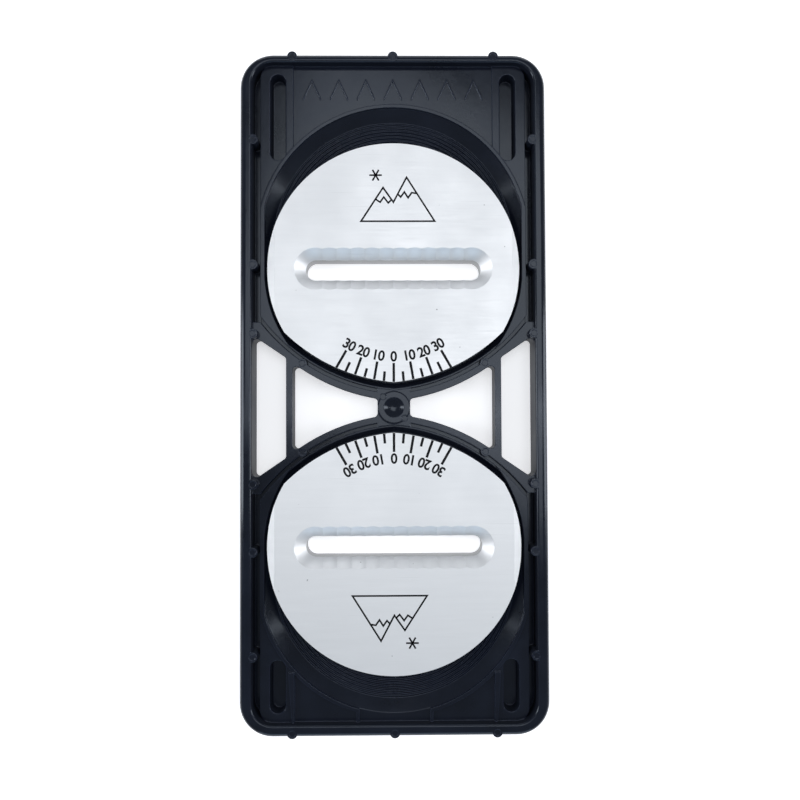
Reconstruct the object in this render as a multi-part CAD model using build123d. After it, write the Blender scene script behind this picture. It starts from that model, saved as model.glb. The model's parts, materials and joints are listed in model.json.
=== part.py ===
"""Snowboard stance plate: a one-piece moulded frame with two aluminium hold-down discs.

Each disc drops into a long round seat in the frame and is screwed to one row of inserts through its
countersunk slot. The frame turns about the discs to set the stance angle, up to 30 degrees each way.

Frame of the model: +X to the right, +Y towards the toe edge, +Z up to the marked face. The origin is at the
bottom centre of the bounding box. The layout below is drawn about the hub, halfway between the two discs,
and is moved to the origin at the end. All sizes are in millimetres.
"""
from build123d import *
import os
from math import cos, radians, sin, sqrt

# Overall layout; the width follows from the discs and the walls round them, the length from the seats
ROW_SPACING = 101.6          # from one disc centre to the other
TOE_PANEL = 17.5             # from the round end of the toe seat to the toe edge
HEEL_PANEL = 6.0             # from the round end of the heel seat to the heel edge
CORNER_RADIUS = 12.0
TURN_LIMIT = 30.0            # degrees each way that the scale shows

# Levels above the underside
RIM_TOP = 12.0
DECK_TOP = 9.0               # bars, struts, bead and side walls
PAD_TOP = 8.6
PANEL_TOP = 8.0
CREST_TOP = 7.4
GROOVE_FLOOR = 6.2
SEAT_FLOOR = 5.6
CHANNEL_FLOOR = 4.0
POCKET_FLOOR = 3.6

# Rim, channel and side walls of the frame
RIM_WIDTH = 4.3
TOE_RIM_WIDTH = 3.1          # the rim is thinner along the toe edge
RIM_ROUND = 2.1              # radius of the outer top edge
RIM_INNER_ROUND = 0.8        # radius of the inner top edge
EDGE_ROUND = 0.4             # small radius on the moulded edges
CHANNEL_WIDTH = 2.7
SIDE_WALL = 1.6              # wall between the channel and the seat

# Disc
DISC_RADIUS = 46.2
DISC_TOP = 11.2
DISC_EDGE = 1.0              # thickness of the disc at its edge
DISC_LIP = 4.2               # radial width of the cone under the edge
SEAT_GAP = 0.1               # between the disc and the tops of the seat ridges
HUB_REACH = 9.2              # from the hub to the trimmed edge of a disc
CUT_RADIUS = 64.6            # radius of the two arcs that trim it
CUT_OFFSET = 5.4             # arc centres, sideways from the disc axis
FLANK_WIDTH = 2.7            # of the flat bevel on each flank
FLANK_DROP = 0.8             # how far the bevel falls by the edge
BOSS_WALL = 3.8              # aluminium around the slot, below the flange
BOSS_BOTTOM = 0.5

# Countersunk slot of the disc, for M6 screws
SCREW_PLACES = 12
SCREW_PITCH = 5.2
SLOT_WIDTH = 7.5
COUNTERSINK_RUN = 3.95       # width of the sloping side
COUNTERSINK_DEPTH = 3.9

# Seat in the frame
SEAT_SHIFT = 11.3            # how far the round end of the seat lies beyond the disc axis
SEAT_LAP = 1.8               # how far the disc reaches over the sloping wall of the seat
SEAT_RISE_WIDTH = 4.7        # radial width of the sloping wall around the seat
BEAD_WIDTH = 1.3
SIDE_GAP = 1.2               # from the disc to the side walls
SHOULDER_GAP = 1.3           # from the disc to the shoulders
RIDGE_PITCH = 1.24
RIDGE_HEIGHT = 0.5
RIDGE_COUNT = 6
WELL_GAP = 0.8               # around the boss of the disc as it turns and shifts

# Bars, struts, windows and hub between the two seats
BAR_GAP = 0.4                # from the trimmed edge of a disc to the foot of the bar
CREST_WIDTH = 0.6
GROOVE_WIDTH = 1.4
BAR_LAND = 2.4
OUTER_WINDOW_WIDTH = 12.2
OUTER_WINDOW_SLOPE = 0.68    # rise over run of the slanted ends
STRUT_WIDTH = 2.3
WINDOW_ROUND = 1.5
HUB_RADIUS = 6.0
HUB_DISH_RADIUS = 3.7
HUB_DISH_DEPTH = 1.3

# Corner pads, pockets and ribs
PAD_WIDTH = 12.1             # from the channel to the step down to the middle panel
PAD_ROUND = 5.0              # radius of the outer corner of a pad
PAD_LAP = 0.4                # how far that corner would reach past the end wall, so that it meets it at an angle
POCKET_WIDTH = 4.7           # at the floor
POCKET_INSET = 6.5           # from the channel to the middle of a pocket
POCKET_MARGIN = 3.8          # from the end rim to a pocket
POCKET_DRAFT = 7.0           # degrees that the pocket walls lean outwards
TOE_POCKET_LENGTH = 31.0
HEEL_POCKET_LENGTH = 18.0
HEEL_RIB_WIDTH = 2.2         # at the seat; the rib narrows towards the rim
HEEL_RIB_TIP = 0.9
HEEL_RIB_HEIGHT = 0.9        # above the pads
HEEL_RIB_SHIFT = 0.45        # how far the rib stands over the pad side of the step
BEAD_GAP_WIDTH = 26.0        # of the stretch by the heel edge where the bead is left out
BEAD_END_WIDTH = 0.9         # of the short ridge at each end of that stretch
MARK_COUNT = 7               # raised arrowheads that point to the toe edge
MARK_PITCH = 10.0
MARK_WIDTH = 6.4
MARK_HEIGHT = 7.0
MARK_LINE = 0.8
MARK_RAISE = 0.35
MARK_MARGIN = 4.9            # from the toe rim to the tips of the arrowheads

# Ejector-pin bosses
BOSS_RADIUS = 1.8
PIN_RADIUS = 1.15
PIN_DEPTH = 0.15
TOE_BULGE = 0.8              # how far a boss stands out of the toe edge
HEEL_BULGE = 0.4
TOE_PIN_STEPS = (-23.8, 1.5, 47.5)   # along the side rims, from the toe disc axis outwards
HEEL_PIN_STEPS = (-23.0, 1.5, 39.0)  # the same from the heel disc axis

# Values that follow
DISC_Y = ROW_SPACING / 2
SEAT_Y = DISC_Y + SEAT_SHIFT
SEAT_RADIUS = DISC_RADIUS - SEAT_LAP
BEAD_RADIUS = SEAT_RADIUS + SEAT_RISE_WIDTH + BEAD_WIDTH
TOE_REACH = SEAT_Y + BEAD_RADIUS + TOE_PANEL
HEEL_REACH = SEAT_Y + BEAD_RADIUS + HEEL_PANEL
TOE_INSIDE = TOE_REACH - TOE_RIM_WIDTH
HEEL_INSIDE = HEEL_REACH - RIM_WIDTH
WALL_INNER_X = DISC_RADIUS + SIDE_GAP
WALL_OUTER_X = WALL_INNER_X + SIDE_WALL
INNER_X = WALL_OUTER_X + CHANNEL_WIDTH
HALF_WIDTH = INNER_X + RIM_WIDTH
STEP_X = WALL_OUTER_X - PAD_WIDTH
STRUT_OUTSIDE = INNER_X - OUTER_WINDOW_WIDTH
STRUT_INSIDE = STRUT_OUTSIDE - STRUT_WIDTH
FLANGE_BOTTOM = SEAT_FLOOR + RIDGE_HEIGHT + SEAT_GAP
CUT_SETBACK = sqrt(CUT_RADIUS**2 - CUT_OFFSET**2) - (DISC_Y - HUB_REACH)
BAR_FOOT_RADIUS = CUT_RADIUS + BAR_GAP
CREST_RADIUS = BAR_FOOT_RADIUS + CREST_TOP - SEAT_FLOOR
GROOVE_RADIUS = CREST_RADIUS + CREST_WIDTH
LAND_RADIUS = GROOVE_RADIUS + GROOVE_WIDTH
BAR_RADIUS = LAND_RADIUS + BAR_LAND
SLOT_REACH = (SCREW_PLACES - 1) * SCREW_PITCH / 2
ABOVE = 6.0                  # how far a cutting tool stands clear of the face that it cuts
HUB_Y = -((TOE_REACH + TOE_BULGE) - (HEEL_REACH + HEEL_BULGE)) / 2


def slab(sketch, bottom, top):
    """Extrude a flat sketch between two levels."""
    return extrude(Pos(0, 0, bottom) * sketch, top - bottom)


def block(x_low, x_high, y_low, y_high, bottom, top):
    """A plain box given by its limits."""
    size = (x_high - x_low, y_high - y_low, top - bottom)
    centre = ((x_low + x_high) / 2, (y_low + y_high) / 2, (bottom + top) / 2)
    return Pos(*centre) * Box(*size)


def long_area(half_width, heel_end, toe_end, radius):
    """A rounded rectangle along the frame, given by its half width and its two ends."""
    return Pos(0, (toe_end - heel_end) / 2) * RectangleRounded(2 * half_width, toe_end + heel_end, radius)


def outline():
    """The whole outline of the frame."""
    return long_area(HALF_WIDTH, HEEL_REACH, TOE_REACH, CORNER_RADIUS)


def inside():
    """The area inside the rim."""
    return long_area(INNER_X, HEEL_INSIDE, TOE_INSIDE, CORNER_RADIUS - RIM_WIDTH)


def pads_outline():
    """The area inside the channels, which taper off round the corners of the pads."""
    return long_area(WALL_OUTER_X, HEEL_INSIDE + PAD_LAP, TOE_INSIDE + PAD_LAP, PAD_ROUND)


def lens(radius):
    """The area inside both trim arcs of the toe disc, with the arcs grown to a radius."""
    right = Pos(CUT_OFFSET, DISC_Y + CUT_SETBACK) * Circle(radius)
    left = Pos(-CUT_OFFSET, DISC_Y + CUT_SETBACK) * Circle(radius)
    return right & left


def both_ends(sketch):
    """A toe-side sketch together with its mirror image at the heel."""
    return sketch + mirror(sketch, Plane.XZ)


def both_sides(shape):
    """A right-hand shape together with its mirror image on the left."""
    return shape + mirror(shape, Plane.YZ)


def stadium(x_low, x_high, width):
    """A slot shape along X, with round ends, given by the middles of its ends."""
    return Pos((x_low + x_high) / 2, 0) * SlotOverall(x_high - x_low + width, width)


# ---------------------------------------------------------------- disc


def flange():
    """The round flange: a thin edge, a cone under it, and a flat that rests on the seat."""
    foot = DISC_RADIUS - DISC_LIP
    edge_bottom = DISC_TOP - DISC_EDGE
    profile = Polyline(
        (0, FLANGE_BOTTOM),
        (foot, FLANGE_BOTTOM),
        (DISC_RADIUS, edge_bottom),
        (DISC_RADIUS, DISC_TOP),
        (0, DISC_TOP),
        close=True,
    )
    solid = revolve(Plane.XZ * make_face(profile), Axis.Z)
    trims = [Pos(x, CUT_SETBACK) * Circle(CUT_RADIUS) for x in (CUT_OFFSET, -CUT_OFFSET)]
    return solid & slab(trims[0] & trims[1], 0, RIM_TOP)


def flank_bevel():
    """The wedge that bevels the right flank of a disc."""
    near = DISC_RADIUS - FLANK_WIDTH
    far = DISC_RADIUS + FLANK_WIDTH
    profile = Polyline((near, DISC_TOP), (far, DISC_TOP - 2 * FLANK_DROP), (far, DISC_TOP), close=True)
    return extrude(Plane.XZ * make_face(profile), DISC_RADIUS, both=True)


def screw_slot():
    """The through slot with a row of overlapping countersinks."""
    slot = slab(stadium(-SLOT_REACH, SLOT_REACH, SLOT_WIDTH), -ABOVE, RIM_TOP + ABOVE)
    cone = Cone(SLOT_WIDTH / 2, SLOT_WIDTH / 2 + COUNTERSINK_RUN, COUNTERSINK_DEPTH)
    level = DISC_TOP - COUNTERSINK_DEPTH / 2
    places = [i * SCREW_PITCH - SLOT_REACH for i in range(SCREW_PLACES)]
    return slot + [Pos(x, 0, level) * cone for x in places]


def disc():
    """One hold-down disc about its own axis, with the hub towards -Y."""
    boss = slab(stadium(-SLOT_REACH, SLOT_REACH, SLOT_WIDTH + 2 * BOSS_WALL), BOSS_BOTTOM, FLANGE_BOTTOM + 1)
    solid = flange() + boss - both_sides(flank_bevel()) - screw_slot()
    return solid.solid()


# ---------------------------------------------------------------- frame, built on its toe half where it can be


def seat_cone(y_centre, top_radius):
    """A round seat: floor, sloping wall, and straight up from there."""
    slope = SEAT_RISE_WIDTH / (PANEL_TOP - SEAT_FLOOR)
    rise = (top_radius - SEAT_RADIUS) / slope
    top = RIM_TOP + ABOVE
    profile = Polyline(
        (0, SEAT_FLOOR),
        (SEAT_RADIUS, SEAT_FLOOR),
        (top_radius, SEAT_FLOOR + rise),
        (top_radius, top),
        (0, top),
        close=True,
    )
    return Pos(0, y_centre) * revolve(Plane.XZ * make_face(profile), Axis.Z)


def seat_tool():
    """The space cut for the toe disc: it is round at both ends, and stops at the bar on the hub side."""
    slope = SEAT_RISE_WIDTH / (PANEL_TOP - SEAT_FLOOR)
    side_rise = (WALL_INNER_X - SEAT_RADIUS) / slope
    top = RIM_TOP + ABOVE
    section = Polyline(
        (-SEAT_RADIUS, SEAT_FLOOR),
        (SEAT_RADIUS, SEAT_FLOOR),
        (WALL_INNER_X, SEAT_FLOOR + side_rise),
        (WALL_INNER_X, top),
        (-WALL_INNER_X, top),
        (-WALL_INNER_X, SEAT_FLOOR + side_rise),
        close=True,
    )
    middle = extrude(Plane((0, DISC_Y, 0), x_dir=(1, 0, 0), z_dir=(0, -1, 0)) * make_face(section), -SEAT_SHIFT)
    outer = seat_cone(SEAT_Y, SEAT_RADIUS + SEAT_RISE_WIDTH)
    inner = seat_cone(DISC_Y, DISC_RADIUS + SHOULDER_GAP)
    sides = block(-WALL_INNER_X, WALL_INNER_X, 0, TOE_REACH, 0, top)
    return (middle + outer + inner) & sides & bar_limit(CUT_OFFSET) & bar_limit(-CUT_OFFSET)


def bar_limit(x_centre):
    """The side of a bar that faces its disc: a 45 degree slope from the seat floor up to the crest."""
    top = RIM_TOP + ABOVE
    profile = Polyline(
        (0, SEAT_FLOOR),
        (BAR_FOOT_RADIUS, SEAT_FLOOR),
        (CREST_RADIUS, CREST_TOP),
        (GROOVE_RADIUS, CREST_TOP),
        (GROOVE_RADIUS, top),
        (0, top),
        close=True,
    )
    return Pos(x_centre, DISC_Y + CUT_SETBACK) * revolve(Plane.XZ * make_face(profile), Axis.Z)


def disc_well():
    """The opening in the seat floor that lets the boss of the disc down to the board, turned and shifted."""
    half_width = SLOT_WIDTH / 2 + BOSS_WALL
    turn = radians(TURN_LIMIT)
    travel = DISC_Y / cos(turn) - DISC_Y
    tip_x, tip_y = SLOT_REACH * cos(turn), SLOT_REACH * sin(turn)
    radius = sqrt(tip_x**2 + (tip_y + travel) ** 2) + half_width + WELL_GAP
    low = -tip_y - half_width - WELL_GAP
    high = tip_y + travel + half_width + WELL_GAP
    window = Pos(0, (low + high) / 2) * Rectangle(2 * radius, high - low)
    return slab(Pos(0, DISC_Y) * (Circle(radius) & window), -ABOVE, RIM_TOP)


def ridge(index):
    """One fine ring on the seat floor, in the part of the seat beyond the disc axis."""
    radius = SEAT_RADIUS - (index + 0.5) * RIDGE_PITCH
    half = RIDGE_PITCH / 2
    profile = Polyline(
        (radius - half, SEAT_FLOOR - RIDGE_HEIGHT),
        (radius - half, SEAT_FLOOR),
        (radius, SEAT_FLOOR + RIDGE_HEIGHT),
        (radius + half, SEAT_FLOOR),
        (radius + half, SEAT_FLOOR - RIDGE_HEIGHT),
        close=True,
    )
    return Pos(0, SEAT_Y) * revolve(Plane.XZ * make_face(profile), Axis.Z)


def deck():
    """The outer body: rounded outer edge, and the inside cut down to the deck inside the rim."""
    body = slab(outline(), 0, RIM_TOP)
    body = fillet(body.edges().group_by(Axis.Z)[-1], RIM_ROUND)
    body -= slab(inside(), DECK_TOP, RIM_TOP + ABOVE)
    top_edges = body.edges().group_by(Axis.Z)[-1]
    return fillet([edge for edge in top_edges if on_inner_edge(edge.center())], RIM_INNER_ROUND)


def on_inner_edge(point):
    """True on the inner edge of the rim, and false on the edge of its outer rounding."""
    between = (RIM_ROUND + TOE_RIM_WIDTH) / 2
    along = point.Y - (TOE_REACH - HEEL_REACH) / 2
    half_length = (TOE_REACH + HEEL_REACH) / 2
    return abs(point.X) < HALF_WIDTH - between and abs(along) < half_length - between


def seat_surround():
    """The area inside the outer edge of the bead and of the side walls, for the toe seat."""
    bead = Pos(0, SEAT_Y) * Circle(BEAD_RADIUS)
    walls = Pos(0, SEAT_Y / 2) * Rectangle(2 * WALL_OUTER_X, SEAT_Y)
    strip = Pos(0, TOE_REACH / 2) * Rectangle(2 * WALL_OUTER_X, TOE_REACH)
    return (bead + walls) & strip


def end_recess():
    """Everything at the two ends that lies below the deck: corner pads and middle panels."""
    bead_gap = Pos(0, -HEEL_REACH) * Rectangle(BEAD_GAP_WIDTH, HEEL_REACH - SEAT_Y)
    around = inside() - (both_ends(seat_surround()) - bead_gap)
    ends = both_ends(Pos(0, SEAT_Y + TOE_REACH / 2) * Rectangle(2 * HALF_WIDTH, TOE_REACH))
    middle = Rectangle(2 * STEP_X, 2 * (TOE_REACH + HEEL_REACH))
    pads = slab(around & ends, PAD_TOP, RIM_TOP)
    panels = slab(around & ends & middle, PANEL_TOP, RIM_TOP)
    return pads + panels


def channels():
    """The channel inside the side rims: it runs from the shoulders round each corner."""
    band = inside() - pads_outline()
    shoulder = DISC_Y + CUT_SETBACK - sqrt(LAND_RADIUS**2 - (WALL_OUTER_X + CUT_OFFSET) ** 2)
    near = WALL_OUTER_X - POCKET_INSET
    side = Pos(near + HALF_WIDTH / 2, shoulder + TOE_REACH / 2) * Rectangle(HALF_WIDTH, TOE_REACH)
    return slab(band & both_sides(both_ends(side)), CHANNEL_FLOOR, RIM_TOP)


def bar_grooves():
    """The groove along each bar, from the hub to the channels."""
    band = lens(LAND_RADIUS) - lens(GROOVE_RADIUS)
    reach = Pos(HUB_RADIUS + WALL_OUTER_X / 2, DISC_Y / 2) * Rectangle(WALL_OUTER_X, DISC_Y)
    strip = Rectangle(2 * WALL_OUTER_X, 2 * DISC_Y)
    return slab(both_ends(band & both_sides(reach) & strip), GROOVE_FLOOR, RIM_TOP)


def inner_window():
    """The window between the hub, the two bars and the right-hand strut."""
    width = STRUT_INSIDE - HUB_RADIUS
    tall = Pos(HUB_RADIUS + width / 2, 0) * Rectangle(width, DISC_Y)
    sketch = tall - both_ends(lens(BAR_RADIUS))
    return fillet(sketch.vertices(), WINDOW_ROUND)


def outer_window():
    """The window between the right-hand strut and the rim, with slanted ends."""
    near_y = DISC_Y + CUT_SETBACK - sqrt(BAR_RADIUS**2 - (STRUT_OUTSIDE + CUT_OFFSET) ** 2)
    far_y = near_y + OUTER_WINDOW_SLOPE * OUTER_WINDOW_WIDTH
    corners = [(STRUT_OUTSIDE, near_y), (INNER_X, far_y), (INNER_X, -far_y), (STRUT_OUTSIDE, -near_y)]
    return fillet(make_face(Polyline(*corners, close=True)).vertices(), WINDOW_ROUND)


def windows():
    """The four windows, cut right through."""
    return slab(both_sides(inner_window() + outer_window()), -ABOVE, RIM_TOP + ABOVE)


def pockets():
    """The four long blind pockets in the corner pads, wider at the top than at the floor."""
    x = WALL_OUTER_X - POCKET_INSET
    toe_y = TOE_INSIDE - POCKET_MARGIN - TOE_POCKET_LENGTH / 2
    heel_y = -(HEEL_INSIDE - POCKET_MARGIN - HEEL_POCKET_LENGTH / 2)
    depth = RIM_TOP - POCKET_FLOOR
    tools = []
    for y, length in ((toe_y, TOE_POCKET_LENGTH), (heel_y, HEEL_POCKET_LENGTH)):
        floor = SlotOverall(length, POCKET_WIDTH)
        tool = extrude(floor, depth, taper=-POCKET_DRAFT)
        tools += [Pos(side * x, y, POCKET_FLOOR) * Rot(0, 0, 90) * tool for side in (1, -1)]
    return tools


def hub():
    """The round boss halfway between the discs, with its dished top."""
    top = DECK_TOP + EDGE_ROUND
    post = fillet(slab(Circle(HUB_RADIUS), 0, top).edges().group_by(Axis.Z)[-1], EDGE_ROUND)
    ball = (HUB_DISH_RADIUS**2 + HUB_DISH_DEPTH**2) / (2 * HUB_DISH_DEPTH)
    return post, Pos(0, 0, top - HUB_DISH_DEPTH + ball) * Sphere(ball)


def arrowheads():
    """The raised arrowheads on the toe panel that show which edge is the toe edge."""
    half = MARK_WIDTH / 2
    corners = [(-half, 0), (0, MARK_HEIGHT), (half, 0), (half, -MARK_LINE), (0, MARK_HEIGHT - MARK_LINE)]
    shape = make_face(Polyline(*corners, (-half, -MARK_LINE), close=True))
    first = -(MARK_COUNT - 1) * MARK_PITCH / 2
    foot = TOE_INSIDE - MARK_MARGIN - MARK_HEIGHT
    row = [Pos(first + i * MARK_PITCH, foot) * shape for i in range(MARK_COUNT)]
    return [slab(mark, PANEL_TOP - MARK_RAISE, PANEL_TOP + MARK_RAISE) for mark in row]


def heel_ribs():
    """The ribs at the heel: one on each pad step, and one at each end of the gap in the bead."""
    low, high = -HEEL_INSIDE, HEEL_POCKET_LENGTH - HEEL_INSIDE
    inner, outer = STEP_X - HEEL_RIB_SHIFT, STEP_X - HEEL_RIB_SHIFT + HEEL_RIB_WIDTH
    plan = make_face(Polyline((inner, high), (outer, high), (inner + HEEL_RIB_TIP, low), (inner, low), close=True))
    rib = slab(plan, GROOVE_FLOOR, PAD_TOP + HEEL_RIB_HEIGHT)
    gap_end = BEAD_GAP_WIDTH / 2
    bead_y = SEAT_Y + sqrt(BEAD_RADIUS**2 - gap_end**2) - BEAD_WIDTH / 2
    end = block(gap_end, gap_end + BEAD_END_WIDTH, -HEEL_INSIDE, -bead_y, GROOVE_FLOOR, DECK_TOP)
    return both_sides(rib + end)


def pin_places():
    """Middle and top of each ejector-pin boss: edges, side rims, shoulders, bars and hub."""
    toe_y = TOE_REACH + TOE_BULGE - BOSS_RADIUS
    heel_y = -(HEEL_REACH + HEEL_BULGE - BOSS_RADIUS)
    edge = [(x, y, RIM_TOP) for y in (toe_y, heel_y) for x in (-STEP_X, 0, STEP_X)]
    rim_x = INNER_X - EDGE_ROUND
    rim_y = [DISC_Y + step for step in TOE_PIN_STEPS] + [-DISC_Y - step for step in HEEL_PIN_STEPS]
    rim = [(x, y, RIM_TOP) for x in (rim_x, -rim_x) for y in rim_y]
    bar_x = STRUT_INSIDE - 2 * BOSS_RADIUS
    middle = (GROOVE_RADIUS + BAR_RADIUS) / 2
    bar_y = DISC_Y + CUT_SETBACK - sqrt(middle**2 - (bar_x + CUT_OFFSET) ** 2)
    bars = [(side * bar_x, end * bar_y, DECK_TOP) for side in (1, -1) for end in (1, -1)]
    diagonal = (HUB_RADIUS - BOSS_RADIUS / 4) * sin(radians(45))
    centre = [(-diagonal, diagonal, DECK_TOP), (diagonal, -diagonal, DECK_TOP)]
    return edge + rim + bars + centre


def build_frame():
    """The whole moulding, about the hub."""
    body = deck() - end_recess() - channels() - bar_grooves() - windows()
    seat = seat_tool()
    body -= seat + mirror(seat, Plane.XZ)
    strip = block(-WALL_INNER_X, WALL_INNER_X, DISC_Y, TOE_REACH, 0, DECK_TOP)
    for index in range(RIDGE_COUNT):
        ring = ridge(index) & strip
        body += ring + mirror(ring, Plane.XZ)
    well = disc_well()
    body -= well + mirror(well, Plane.XZ)
    body -= pockets()
    post, dish = hub()
    body = body + post - dish
    body += arrowheads()
    body += heel_ribs()
    for x, y, top in pin_places():
        body += Pos(x, y, 0) * slab(Circle(BOSS_RADIUS), 0, top)
        body -= Pos(x, y, 0) * slab(Circle(PIN_RADIUS), top - PIN_DEPTH, top + ABOVE)
    return body.solid()


frame = build_frame()
one_disc = disc()
nodes = {
    "frame": frame,
    "toe_disc": Pos(0, DISC_Y, 0) * one_disc,
    "heel_disc": Pos(0, -DISC_Y, 0) * Rot(0, 0, 180) * one_disc,
}
os.makedirs("parts", exist_ok=True)
for name, shape in nodes.items():
    export_step(Pos(0, HUB_Y, 0) * shape, f"parts/{name}.step")
    print(name, round(shape.volume / 1000, 2), "cm3", shape.bounding_box())
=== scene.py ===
"""Looks of the stance plate: moulded plastic, brushed discs, stance-angle scales, motif and studio."""
import json
from math import cos, pi, radians, sin

import bmesh
import bpy
from mathutils import Matrix, Vector


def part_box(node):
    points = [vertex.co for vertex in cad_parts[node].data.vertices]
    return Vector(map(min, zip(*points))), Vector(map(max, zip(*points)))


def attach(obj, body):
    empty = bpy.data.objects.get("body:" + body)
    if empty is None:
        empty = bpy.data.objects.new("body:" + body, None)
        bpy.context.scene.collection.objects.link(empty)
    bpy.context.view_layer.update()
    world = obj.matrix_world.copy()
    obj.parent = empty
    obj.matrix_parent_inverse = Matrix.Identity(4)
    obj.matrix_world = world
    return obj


bl_info = {
    "name": "Stance Plate",
    "version": (1, 0, 0),
    "blender": (4, 5, 0),
    "location": "3D View > Sidebar > Stance Plate",
    "description": "Finishes a snowboard stance plate with two hold-down discs",
    "category": "Object",
}

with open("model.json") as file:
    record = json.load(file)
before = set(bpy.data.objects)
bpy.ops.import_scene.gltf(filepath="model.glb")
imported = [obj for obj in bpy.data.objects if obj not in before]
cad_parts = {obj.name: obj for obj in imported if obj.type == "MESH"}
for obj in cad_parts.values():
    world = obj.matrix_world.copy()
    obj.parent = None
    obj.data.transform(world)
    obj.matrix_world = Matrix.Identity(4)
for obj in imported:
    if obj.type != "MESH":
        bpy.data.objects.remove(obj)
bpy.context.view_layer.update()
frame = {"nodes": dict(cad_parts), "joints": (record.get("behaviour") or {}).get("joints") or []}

MM = 0.001
DISCS = ("toe_disc", "heel_disc")
BODY_OF_DISC = {"toe_disc": "toe_side", "heel_disc": "heel_side"}
PIVOTS = {joint["child"]: Vector(joint["pos_m"]) for joint in frame["joints"]}
HUB = (PIVOTS["toe_side"] + PIVOTS["heel_side"]) / 2

# Printed marks
INK_THICKNESS = 0.02 * MM
MARK_STEP = 5                # degrees between marks
MARK_END_GAP = 0.1 * MM      # from a mark to the trimmed edge
EDGE_SEARCH = 4              # degrees each side of a mark in which the trimmed edge is looked for
FIGURE_HEIGHT = 0.72         # of a figure, as a share of the font size
FIGURE_WIDTH = 0.95          # the figures are a little narrower than the font
FIGURE_SPACING = 0.92
FIGURE_WEIGHT = 0.14 * MM    # added all round the outline of a figure
MOUNTAINS = ((-0.5, -0.3), (-0.2, 0.16), (-0.06, -0.04), (0.12, 0.3), (0.5, -0.3))
SNOW_LINES = (
    ((-0.3, 0.0), (-0.24, -0.04), (-0.19, 0.03), (-0.13, -0.05), (-0.08, 0.0)),
    ((0.0, 0.07), (0.04, 0.03), (0.09, 0.1), (0.14, 0.02), (0.19, 0.09), (0.25, 0.08)),
)
CRYSTAL_MIDDLE = Vector((-0.3, 0.33, 0))
CRYSTAL_RADIUS = 0.085

# Stage
SOFT_WHITE = (0.95, 0.97, 1.0)
COOL_WHITE = (0.6, 0.8, 1.0)
ROOM_COLOUR = (0.86, 0.93, 1.0, 1.0)
FLOOR_SIZE = 20
FLOOR_DROP = 0.1 * MM        # keeps the floor just clear of the underside
SENSOR_WIDTH = 36
# Each light's name, x, y and height in metres, width and length in metres, power in watts, and colour
LIGHTS = (
    ("left_softbox", -1.1, 0.0, 0.3, 0.35, 1.2, 8.3, SOFT_WHITE),
    ("right_softbox", 1.1, 0.0, 0.3, 0.35, 1.2, 7.2, SOFT_WHITE),
    ("far_softbox", 0.0, 1.1, 0.25, 1.0, 0.3, 1.9, SOFT_WHITE),
    ("near_softbox", 0.0, -1.1, 0.3, 1.0, 0.35, 2.2, COOL_WHITE),
    ("overhead_softbox", 0.2, 0.44, 2.5, 1.5, 1.25, 15.2, SOFT_WHITE),
    ("left_strip", -0.5, 0.0, 0.8, 0.02, 0.9, 0.25, SOFT_WHITE),
    ("right_strip", 0.5, 0.0, 0.8, 0.02, 0.9, 0.45, SOFT_WHITE),
)


# ---------------------------------------------------------------- settings


class PlasticSettings(bpy.types.PropertyGroup):
    """The moulded frame."""

    colour: bpy.props.FloatVectorProperty(
        name="Colour", description="Colour of the plastic", subtype="COLOR", size=4, min=0, max=1,
        default=(0.006, 0.0078, 0.0145, 1.0),
    )
    roughness: bpy.props.FloatProperty(
        name="Roughness", description="Mean roughness of the moulded skin", default=0.15, min=0, max=1,
        subtype="FACTOR",
    )
    wall_roughness: bpy.props.FloatProperty(
        name="Wall roughness", description="Roughness of the steep walls, which are less polished",
        default=0.5, min=0, max=1, subtype="FACTOR",
    )
    edge_radius: bpy.props.FloatProperty(
        name="Edge radius", description="Radius that softens every moulded edge",
        default=0.4 * MM, unit="LENGTH",
    )
    peel_size: bpy.props.FloatProperty(
        name="Orange peel", description="Size of the faint ripples in the skin",
        default=2.2 * MM, unit="LENGTH",
    )


class DiscSettings(bpy.types.PropertyGroup):
    """The aluminium discs."""

    colour: bpy.props.FloatVectorProperty(
        name="Colour", description="Colour of the aluminium", subtype="COLOR", size=4, min=0, max=1,
        default=(0.84, 0.845, 0.855, 1.0),
    )
    roughness: bpy.props.FloatProperty(
        name="Roughness", description="Mean roughness of the brushed face", default=0.55, min=0, max=1,
        subtype="FACTOR",
    )
    grain_width: bpy.props.FloatProperty(
        name="Grain width", description="Distance between brush lines", default=0.22 * MM, unit="LENGTH"
    )
    grain_length: bpy.props.FloatProperty(
        name="Grain length", description="Length of a brush line", default=14 * MM, unit="LENGTH"
    )
    edge_radius: bpy.props.FloatProperty(
        name="Edge radius", description="Radius that softens every cut edge", default=0.08 * MM, unit="LENGTH"
    )


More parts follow.
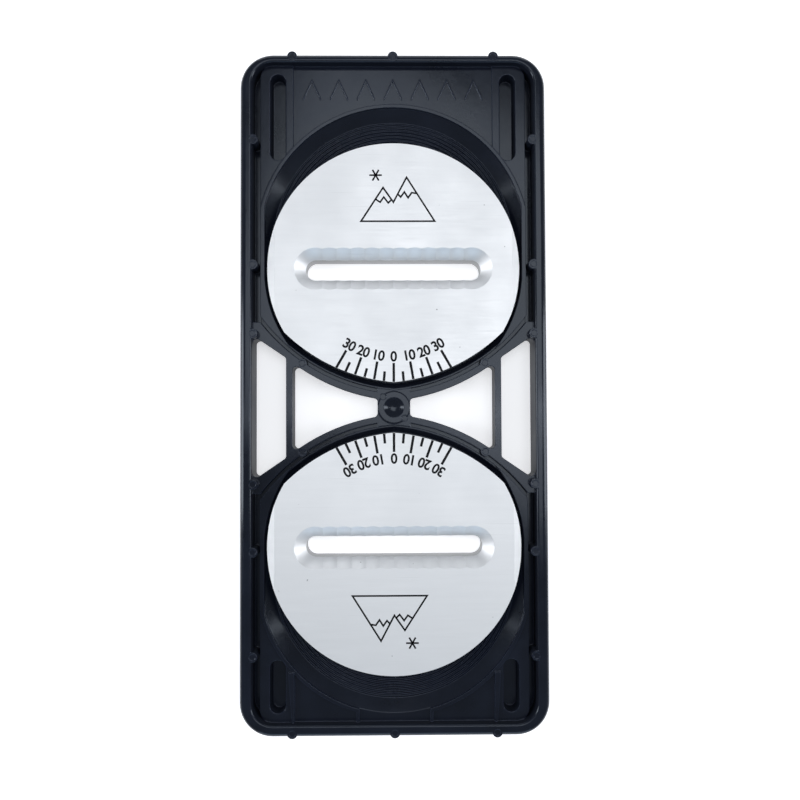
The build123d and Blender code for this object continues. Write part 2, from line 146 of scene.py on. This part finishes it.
class ScaleSettings(bpy.types.PropertyGroup):
    """The stance-angle scale at the hub side of each disc, and the motif at its other side."""

    ink: bpy.props.FloatVectorProperty(
        name="Ink", description="Colour of the printed marks", subtype="COLOR", size=4, min=0, max=1,
        default=(0.006, 0.006, 0.0075, 1.0),
    )
    limit: bpy.props.IntProperty(name="Limit", description="Last angle of the scale, in degrees", default=30)
    tens_radius: bpy.props.FloatProperty(
        name="Tens", description="From the disc axis to the inner ends of the marks at tens",
        default=34.6 * MM,
        unit="LENGTH",
    )
    fives_radius: bpy.props.FloatProperty(
        name="Fives", description="From the disc axis to the inner ends of the marks at fives",
        default=37.8 * MM,
        unit="LENGTH",
    )
    mark_width: bpy.props.FloatProperty(
        name="Mark width", description="Width of a mark", default=0.92 * MM, unit="LENGTH"
    )
    numeral_height: bpy.props.FloatProperty(
        name="Numeral height", description="Height of the figures", default=3.7 * MM, unit="LENGTH"
    )
    numeral_radius: bpy.props.FloatProperty(
        name="Numeral radius", description="From the disc axis to the middle of the figures",
        default=32.2 * MM,
        unit="LENGTH",
    )
    motif_place: bpy.props.FloatVectorProperty(
        name="Motif place", description="Middle of the motif from the disc axis, with the hub below", size=2,
        default=(1.7 * MM, 25.5 * MM), unit="LENGTH",
    )
    motif_width: bpy.props.FloatProperty(
        name="Motif width", description="Overall width of the motif", default=27 * MM, unit="LENGTH"
    )
    line_width: bpy.props.FloatProperty(
        name="Line width", description="Width of the lines of the motif", default=0.62 * MM, unit="LENGTH"
    )


class StageSettings(bpy.types.PropertyGroup):
    """Floor, lights and camera."""

    floor_colour: bpy.props.FloatVectorProperty(
        name="Floor", description="Colour of the floor", subtype="COLOR", size=4, min=0, max=1,
        default=(0.9, 0.9, 0.91, 1.0),
    )
    floor_glow: bpy.props.FloatProperty(
        name="Floor glow", description="How strongly the floor is lit from below", default=0.6, min=0
    )
    room_light: bpy.props.FloatProperty(
        name="Room light", description="Strength of the even light of the studio", default=0.3, min=0
    )
    camera_place: bpy.props.FloatVectorProperty(
        name="Camera place", description="Where the camera stands, from the middle between the discs", size=3,
        default=(-1.0 * MM, -5.0 * MM, 300 * MM), unit="LENGTH",
    )
    camera_tilt: bpy.props.FloatVectorProperty(
        name="Camera tilt", description="How the camera leans from looking straight down", size=3,
        default=(0.0266, -0.0111, -0.0038), subtype="EULER",
    )
    camera_lens: bpy.props.FloatProperty(name="Lens", description="Focal length in millimetres", default=35.7)


# ---------------------------------------------------------------- helpers


def new_material(name):
    """A material, its node tree, and the one shader in it."""
    material = bpy.data.materials.new(name)
    material.use_nodes = True
    tree = material.node_tree
    tree.nodes.clear()
    output = tree.nodes.new("ShaderNodeOutputMaterial")
    shader = tree.nodes.new("ShaderNodeBsdfPrincipled")
    tree.links.new(shader.outputs["BSDF"], output.inputs["Surface"])
    return material, tree, shader


def node(tree, kind, inputs=None, **settings):
    """Add a node; inputs holds socket values or the sockets to link from."""
    made = tree.nodes.new(kind)
    for name, value in settings.items():
        setattr(made, name, value)
    for name, value in (inputs or {}).items():
        if isinstance(value, bpy.types.NodeSocket):
            tree.links.new(value, made.inputs[name])
        else:
            made.inputs[name].default_value = value
    return made


def grain(tree, scale, detail=2.0, turn=0.0, roughness=0.5):
    """Noise stretched by a scale per metre along each axis, after a turn about Z in degrees."""
    place = node(tree, "ShaderNodeTexCoord").outputs["Object"]
    mapping = node(
        tree, "ShaderNodeMapping", {"Vector": place, "Scale": scale, "Rotation": (0, 0, radians(turn))}
    )
    noise = node(
        tree,
        "ShaderNodeTexNoise",
        {"Vector": mapping.outputs["Vector"], "Scale": 1.0, "Detail": detail, "Roughness": roughness},
    )
    return noise.outputs["Fac"]


def remap(tree, value, low, high, to_low, to_high):
    """Clamp a value between two limits and stretch it to two others."""
    made = node(
        tree,
        "ShaderNodeMapRange",
        {"Value": value, "From Min": low, "From Max": high, "To Min": to_low, "To Max": to_high},
    )
    return made.outputs["Result"]


def blend(tree, factor, first, second):
    """Mix two colours."""
    made = tree.nodes.new("ShaderNodeMix")
    made.data_type = "RGBA"
    for index, value in ((0, factor), (6, first), (7, second)):
        if isinstance(value, bpy.types.NodeSocket):
            tree.links.new(value, made.inputs[index])
        else:
            made.inputs[index].default_value = value
    return made.outputs[2]


def shade(colour, factor):
    """A colour made lighter or darker."""
    return tuple(min(channel * factor, 1.0) for channel in colour[:3]) + (1.0,)


def edge_mask(tree, softened):
    """How far the softened normal leans away from the real one: 0 on flats, up to 1 on edges."""
    normal = node(tree, "ShaderNodeNewGeometry").outputs["Normal"]
    dot = node(tree, "ShaderNodeVectorMath", operation="DOT_PRODUCT")
    tree.links.new(softened, dot.inputs[0])
    tree.links.new(normal, dot.inputs[1])
    return remap(tree, dot.outputs["Value"], 1.0, 0.8, 0.0, 1.0)


def steepness(tree, flat, upright, to_high):
    """0 on faces whose normal points up by more than flat, and to_high where it is under upright."""
    normal = node(tree, "ShaderNodeNewGeometry").outputs["Normal"]
    upward = node(tree, "ShaderNodeSeparateXYZ", {0: normal}).outputs["Z"]
    return remap(tree, upward, flat, upright, 0.0, to_high)


def total_of(tree, first, second, operation="ADD"):
    """Add two values, or join them by another operation."""
    return node(tree, "ShaderNodeMath", {0: first, 1: second}, operation=operation).outputs[0]


def bumped(tree, height, normal, strength, distance):
    """A normal disturbed by a height."""
    inputs = {"Height": height, "Normal": normal, "Strength": strength, "Distance": distance}
    return node(tree, "ShaderNodeBump", inputs).outputs["Normal"]


def piece_from(mesh_builder, name, body, material):
    """Make a piece from a bmesh, give it its material, and let it ride on a body."""
    mesh = bpy.data.meshes.new(name)
    mesh_builder.to_mesh(mesh)
    mesh_builder.free()
    mesh.materials.append(material)
    piece = bpy.data.objects.new(name, mesh)
    bpy.context.scene.collection.objects.link(piece)
    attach(piece, body)


# ---------------------------------------------------------------- materials


def black_plastic(settings):
    """Glossy injection-moulded plastic with faint ripples, handling marks, and edges painted lighter: partly
    rubbed wear, partly a painted highlight.
    """
    material, tree, shader = new_material("black_plastic")
    softened = node(tree, "ShaderNodeBevel", {"Radius": settings.edge_radius}, samples=6).outputs["Normal"]
    rubbed_and_highlit = edge_mask(tree, softened)
    ripples = grain(tree, (1 / settings.peel_size,) * 3)
    fine = grain(tree, (6000, 6000, 6000))
    clouds = grain(tree, (55, 55, 55), detail=4.0, roughness=0.6)
    dull, bright = shade(settings.colour, 0.8), shade(settings.colour, 1.3)
    base = blend(tree, remap(tree, clouds, 0.35, 0.7, 0, 1), dull, bright)
    # Every moulded edge is painted lighter, 3.5 times the colour: partly rubbed wear, partly a painted
    # highlight.
    worn_and_highlit = blend(tree, rubbed_and_highlit, base, shade(settings.colour, 3.5))
    tree.links.new(worn_and_highlit, shader.inputs["Base Color"])
    dusty = remap(tree, clouds, 0.35, 0.7, 0.75, 1.25)
    level = total_of(tree, dusty, settings.roughness, "MULTIPLY")
    steep = steepness(tree, 0.75, 0.25, settings.wall_roughness - settings.roughness)
    tree.links.new(total_of(tree, level, steep), shader.inputs["Roughness"])
    skin = bumped(tree, ripples, softened, 0.35, 0.02 * MM)
    skin = bumped(tree, fine, skin, 0.15, 0.01 * MM)
    tree.links.new(skin, shader.inputs["Normal"])
    shader.inputs["IOR"].default_value = 1.5
    shader.inputs["Specular IOR Level"].default_value = 0.34
    shader.inputs["Specular Tint"].default_value = (0.82, 0.9, 1.0, 1.0)
    return material


def brushed_aluminium(settings):
    """Clear anodised aluminium with a fine straight grain, a few scratches and specks, and painted shade on
    its steep walls.
    """
    material, tree, shader = new_material("disc_aluminium")
    shader.inputs["Metallic"].default_value = 1.0
    softened = node(tree, "ShaderNodeBevel", {"Radius": settings.edge_radius}, samples=4).outputs["Normal"]
    along, across = 1 / settings.grain_length, 1 / settings.grain_width
    lines = grain(tree, (along, across, across), detail=3.0, roughness=0.65)
    bands = grain(tree, (along * 0.6, across * 0.12, across * 0.12))
    haze = grain(tree, (38, 38, 38), detail=4.0, roughness=0.6)
    long_scratch = grain(tree, (26, 2300, 26), detail=1.0, turn=63)
    cross_scratch = grain(tree, (34, 2600, 34), detail=1.0, turn=-22)
    spots = grain(tree, (520, 520, 520), detail=1.0)
    dull, bright = shade(settings.colour, 0.965), shade(settings.colour, 1.02)
    base = blend(tree, remap(tree, lines, 0.3, 0.7, 0, 1), dull, bright)
    base = blend(tree, remap(tree, bands, 0.35, 0.65, 0, 1), base, shade(settings.colour, 0.975))
    base = blend(tree, remap(tree, haze, 0.4, 0.7, 0.0, 0.35), base, shade(settings.colour, 0.955))
    for mark, strength in ((long_scratch, 0.3), (cross_scratch, 0.22)):
        base = blend(tree, remap(tree, mark, 0.76, 0.79, 0.0, strength), base, shade(settings.colour, 0.7))
    base = blend(tree, remap(tree, spots, 0.8, 0.83, 0.0, 0.7), base, shade(settings.colour, 0.25))
    # Steep faces, such as the slot walls and the outer edge of the disc, are painted at half the colour:
    # painted shade.
    base = blend(tree, steepness(tree, 0.3, 0.1, 1.0), base, shade(settings.colour, 0.5))
    tree.links.new(base, shader.inputs["Base Color"])
    rough = remap(tree, lines, 0.3, 0.7, settings.roughness - 0.06, settings.roughness + 0.06)
    cloudy = remap(tree, haze, 0.35, 0.7, -0.03, 0.05)
    tree.links.new(total_of(tree, rough, cloudy), shader.inputs["Roughness"])
    tree.links.new(bumped(tree, lines, softened, 0.25, 0.006 * MM), shader.inputs["Normal"])
    return material


def printed_ink(settings):
    """Matt black print, a little uneven."""
    material, tree, shader = new_material("printed_ink")
    patchy = grain(tree, (1500, 1500, 1500), detail=3.0)
    base = blend(tree, remap(tree, patchy, 0.35, 0.7, 0, 1), settings.ink[:], shade(settings.ink, 2.2))
    tree.links.new(base, shader.inputs["Base Color"])
    tree.links.new(remap(tree, patchy, 0.3, 0.7, 0.45, 0.6), shader.inputs["Roughness"])
    shader.inputs["Specular IOR Level"].default_value = 0.12
    return material


def floor_paper(settings):
    """Pale seamless paper."""
    material, tree, shader = new_material("floor_paper")
    mottle = grain(tree, (30, 30, 30), detail=3.0)
    base = blend(tree, mottle, settings.floor_colour[:], shade(settings.floor_colour, 0.99))
    tree.links.new(base, shader.inputs["Base Color"])
    tree.links.new(base, shader.inputs["Emission Color"])
    shader.inputs["Emission Strength"].default_value = settings.floor_glow
    shader.inputs["Roughness"].default_value = 0.9
    return material


# ---------------------------------------------------------------- marks on the discs


def disc_place(disc):
    """The transform from a disc's own layout, hub towards -Y, to where the disc lies."""
    pivot = PIVOTS[BODY_OF_DISC[disc]]
    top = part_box(disc)[1].z
    turn = 0 if disc == "toe_disc" else pi
    return Matrix.Translation((pivot.x, pivot.y, top)) @ Matrix.Rotation(turn, 4, "Z")


def add_ribbon(builder, points, width, place, closed=False):
    """Add a flat line of even width with mitred corners."""
    count = len(points)
    points = [Vector(point).to_2d() for point in points]
    rims = []
    for i, point in enumerate(points):
        before = points[i - 1] if closed or i > 0 else None
        after = points[(i + 1) % count] if closed or i < count - 1 else None
        pairs = [(a, b) for a, b in ((before, point), (point, after)) if a is not None and b is not None]
        steps = [(b - a).normalized() for a, b in pairs]
        sides = [Vector((-step.y, step.x)) for step in steps]
        mean = sum(sides, Vector((0, 0))).normalized()
        reach = width / 2 / max(mean.dot(sides[0]), 0.35)
        rims.append([point + mean * reach, point - mean * reach])
    levels = (Vector((0, 0, 0)), Vector((0, 0, INK_THICKNESS)))
    verts = [
        [[builder.verts.new(place @ (spot.to_3d() + level)) for level in levels] for spot in rim]
        for rim in rims
    ]
    for i in range(count if closed else count - 1):
        (a0, a1), (b0, b1) = verts[i]
        (c0, c1), (d0, d1) = verts[(i + 1) % count]
        for corners in ((a1, b1, d1, c1), (a0, c0, d0, b0), (a0, a1, c1, c0), (b0, d0, d1, b1)):
            builder.faces.new(corners)
    if not closed:
        for i, flip in ((0, False), (count - 1, True)):
            (a0, a1), (b0, b1) = verts[i]
            builder.faces.new((a0, b0, b1, a1) if not flip else (a0, a1, b1, b0))


def trim_distance(disc_name, angle):
    """From the disc axis to the trimmed edge, at an angle from the direction of the hub."""
    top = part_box(disc_name)[1].z
    pivot = PIVOTS[BODY_OF_DISC[disc_name]]
    side = -1 if disc_name == "toe_disc" else 1
    best = 0.0
    heading = Vector((sin(angle), side * cos(angle)))
    for vertex in frame["nodes"][disc_name].data.vertices:
        if abs(vertex.co.z - top) < 0.01 * MM:
            reach = Vector((vertex.co.x - pivot.x, vertex.co.y - pivot.y))
            if reach.length > 0 and abs(reach.angle(heading)) < radians(EDGE_SEARCH):
                best = max(best, reach.dot(heading))
    return best


def add_numeral(builder, text, height, place):
    """Add the figures of a number as flat solid shapes."""
    curve = bpy.data.curves.new("numeral", "FONT")
    curve.body = text
    curve.align_x = "CENTER"
    curve.align_y = "CENTER"
    curve.size = height / FIGURE_HEIGHT
    curve.extrude = INK_THICKNESS / 2
    curve.offset = FIGURE_WEIGHT
    curve.space_character = FIGURE_SPACING
    holder = bpy.data.objects.new("numeral", curve)
    bpy.context.scene.collection.objects.link(holder)
    bpy.context.view_layer.update()
    graph = bpy.context.evaluated_depsgraph_get()
    mesh = bpy.data.meshes.new_from_object(holder.evaluated_get(graph))
    ends = [vertex.co.y for vertex in mesh.vertices]
    centring = Matrix.Translation((0, -(min(ends) + max(ends)) / 2, INK_THICKNESS / 2))
    mesh.transform(place @ centring @ Matrix.Scale(FIGURE_WIDTH, 4, (1, 0, 0)))
    builder.from_mesh(mesh)
    bpy.data.objects.remove(holder)
    bpy.data.curves.remove(curve)
    bpy.data.meshes.remove(mesh)


def make_angle_scale(disc, settings, ink):
    """Marks every five degrees and figures every ten, along the trimmed edge of a disc."""
    place = disc_place(disc)
    builder = bmesh.new()
    for angle in range(-settings.limit, settings.limit + 1, MARK_STEP):
        turn = Matrix.Rotation(radians(angle), 4, "Z")
        whole_ten = angle % 10 == 0
        end = trim_distance(disc, radians(angle)) - MARK_END_GAP
        start = settings.tens_radius if whole_ten else settings.fives_radius
        add_ribbon(builder, [(0, -start), (0, -end)], settings.mark_width, place @ turn)
        if whole_ten:
            spot = place @ turn @ Matrix.Translation((0, -settings.numeral_radius, 0))
            add_numeral(builder, str(abs(angle)), settings.numeral_height, spot)
    piece_from(builder, disc.replace("disc", "scale"), BODY_OF_DISC[disc], ink)


def make_motif(disc, settings, ink):
    """A generic mountain range under a snow crystal, in outline."""
    across, up = settings.motif_place
    enlarge = Matrix.Diagonal((settings.motif_width, settings.motif_width, 1, 1))
    place = disc_place(disc) @ Matrix.Translation((across, up, 0)) @ enlarge
    builder = bmesh.new()
    width = settings.line_width / settings.motif_width
    add_ribbon(builder, MOUNTAINS, width, place, closed=True)
    for line in SNOW_LINES:
        add_ribbon(builder, line, width, place)
    for i in range(3):
        heading = Vector((cos(i * pi / 3), sin(i * pi / 3), 0)) * CRYSTAL_RADIUS
        add_ribbon(builder, (CRYSTAL_MIDDLE - heading, CRYSTAL_MIDDLE + heading), width, place)
    piece_from(builder, disc.replace("disc", "motif"), BODY_OF_DISC[disc], ink)


# ---------------------------------------------------------------- operators


class PLATE_OT_finish_frame(bpy.types.Operator):
    """Give the moulded frame its glossy black plastic."""

    bl_idname = "plate.finish_frame"
    bl_label = "Finish frame"

    def execute(self, context):
        node_object = frame["nodes"]["frame"]
        node_object.data.materials.clear()
        node_object.data.materials.append(black_plastic(context.scene.plate_plastic))
        return {"FINISHED"}


class PLATE_OT_finish_discs(bpy.types.Operator):
    """Give both hold-down discs their brushed aluminium."""

    bl_idname = "plate.finish_discs"
    bl_label = "Finish discs"

    def execute(self, context):
        metal = brushed_aluminium(context.scene.plate_disc)
        for disc in DISCS:
            frame["nodes"][disc].data.materials.clear()
            frame["nodes"][disc].data.materials.append(metal)
        return {"FINISHED"}


class PLATE_OT_print_marks(bpy.types.Operator):
    """Print the stance-angle scale and the motif on both discs."""

    bl_idname = "plate.print_marks"
    bl_label = "Print marks"

    def execute(self, context):
        settings = context.scene.plate_scale
        ink = printed_ink(settings)
        for disc in DISCS:
            make_angle_scale(disc, settings, ink)
            make_motif(disc, settings, ink)
        return {"FINISHED"}


def add_area_light(name, place, size, power, colour):
    """A rectangular soft light that faces the origin."""
    data = bpy.data.lights.new(name, "AREA")
    data.shape = "RECTANGLE"
    data.size, data.size_y = size
    data.energy = power
    data.color = colour
    light = bpy.data.objects.new(name, data)
    light.location = place
    light.rotation_euler = (-Vector(place)).to_track_quat("-Z", "Y").to_euler()
    bpy.context.scene.collection.objects.link(light)


class PLATE_OT_set_stage(bpy.types.Operator):
    """Add the floor, the studio lights and the camera."""

    bl_idname = "plate.set_stage"
    bl_label = "Set stage"

    def execute(self, context):
        settings = context.scene.plate_stage
        scene = context.scene
        bpy.ops.mesh.primitive_plane_add(size=FLOOR_SIZE, location=(0, 0, -FLOOR_DROP))
        floor = context.active_object
        floor.name = "floor"
        floor.data.materials.append(floor_paper(settings))
        world = bpy.data.worlds.new("studio")
        world.use_nodes = True
        background = world.node_tree.nodes["Background"]
        background.inputs["Color"].default_value = ROOM_COLOUR
        background.inputs["Strength"].default_value = settings.room_light
        scene.world = world
        for name, x, y, height, width, length, power, colour in LIGHTS:
            add_area_light(name, (x, y, height), (width, length), power, colour)
        camera_data = bpy.data.cameras.new("camera")
        camera_data.lens = settings.camera_lens
        camera_data.sensor_width = SENSOR_WIDTH
        camera_data.clip_start = 0.01
        camera = bpy.data.objects.new("camera", camera_data)
        camera.location = Vector(settings.camera_place) + HUB
        camera.rotation_euler = settings.camera_tilt
        scene.collection.objects.link(camera)
        scene.camera = camera
        scene.view_settings.view_transform = "Standard"
        return {"FINISHED"}


class PLATE_PT_panel(bpy.types.Panel):
    """Lists the settings and the steps that finish the stance plate."""

    bl_idname = "PLATE_PT_panel"
    bl_label = "Stance Plate"
    bl_space_type = "VIEW_3D"
    bl_region_type = "UI"
    bl_category = "Stance Plate"

    def draw(self, context):
        for group, _ in SETTINGS:
            box = self.layout.box()
            settings = getattr(context.scene, group)
            for name in settings.__annotations__:
                box.prop(settings, name)
        for step in STEPS:
            self.layout.operator(step.bl_idname)


SETTINGS = (
    ("plate_plastic", PlasticSettings),
    ("plate_disc", DiscSettings),
    ("plate_scale", ScaleSettings),
    ("plate_stage", StageSettings),
)
STEPS = (PLATE_OT_set_stage, PLATE_OT_finish_frame, PLATE_OT_finish_discs, PLATE_OT_print_marks)


def register():
    for name, group in SETTINGS:
        bpy.utils.register_class(group)
        setattr(bpy.types.Scene, name, bpy.props.PointerProperty(type=group))
    for step in STEPS:
        bpy.utils.register_class(step)
    bpy.utils.register_class(PLATE_PT_panel)


def unregister():
    bpy.utils.unregister_class(PLATE_PT_panel)
    for step in reversed(STEPS):
        bpy.utils.unregister_class(step)
    for name, group in reversed(SETTINGS):
        delattr(bpy.types.Scene, name)
        bpy.utils.unregister_class(group)


def main():
    register()
    bpy.ops.plate.set_stage()
    bpy.ops.plate.finish_frame()
    bpy.ops.plate.finish_discs()
    bpy.ops.plate.print_marks()


if __name__ == "__main__":
    main()
